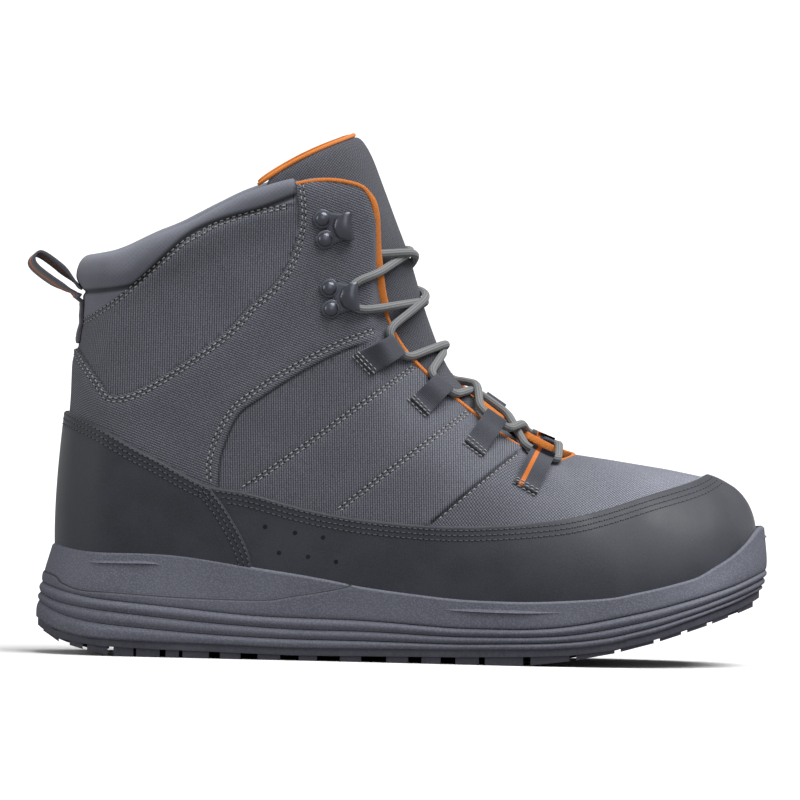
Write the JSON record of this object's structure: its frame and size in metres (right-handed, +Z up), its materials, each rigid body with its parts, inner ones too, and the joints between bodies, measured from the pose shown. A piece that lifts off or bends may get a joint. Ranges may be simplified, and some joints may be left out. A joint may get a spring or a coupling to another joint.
{
  "type": "wading boot",
  "caption": "Right wading boot with a lugged outsole, foam cup midsole, hollow ankle-high fabric upper, nubuck rand and heel counter, padded tongue, lace loops and speed hooks.",
  "frame": {"origin": "on the ground under the middle of the heel", "axes": "+X towards the toe, +Y towards the inner side of the foot, +Z up"},
  "size_m": [0.3143, 0.1134, 0.2225],
  "materials": {
    "upper_fabric": "coarse woven nylon",
    "tongue_fabric": "padded woven nylon",
    "nubuck": "matt black nubuck",
    "foam": "finely pebbled foam",
    "insole_fabric": "matt knit over foam",
    "sole_rubber": "matt",
    "piping": "orange woven binding",
    "lace_cord": "braided grey cord",
    "webbing": "ribbed grey webbing with an orange stripe",
    "hook_metal": "satin gunmetal"
  },
  "bodies": {
    "root": {"upper": "upper_fabric", "rand": "nubuck", "heel_counter": "nubuck", "midsole": "foam", "insole": "insole_fabric", "outsole": "sole_rubber", "tongue": "tongue_fabric", "tongue_piping": "piping", "collar_piping_outer": "piping", "collar_piping_inner": "piping", "lace_crossing_1": "lace_cord", "lace_crossing_2": "lace_cord", "lace_crossing_3": "lace_cord", "lace_crossing_4": "lace_cord", "lace_crossing_5": "lace_cord", "lace_bar": "lace_cord", "lace_hook_outer_1": "hook_metal", "lace_hook_outer_2": "hook_metal", "lace_hook_inner_1": "hook_metal", "lace_hook_inner_2": "hook_metal", "lace_loop_outer_1": "webbing", "lace_loop_outer_2": "webbing", "lace_loop_outer_3": "webbing", "lace_loop_outer_4": "webbing", "lace_loop_inner_1": "webbing", "lace_loop_inner_2": "webbing", "lace_loop_inner_3": "webbing", "lace_loop_inner_4": "webbing", "pull_loop": "webbing"}
  },
  "joints": []
}
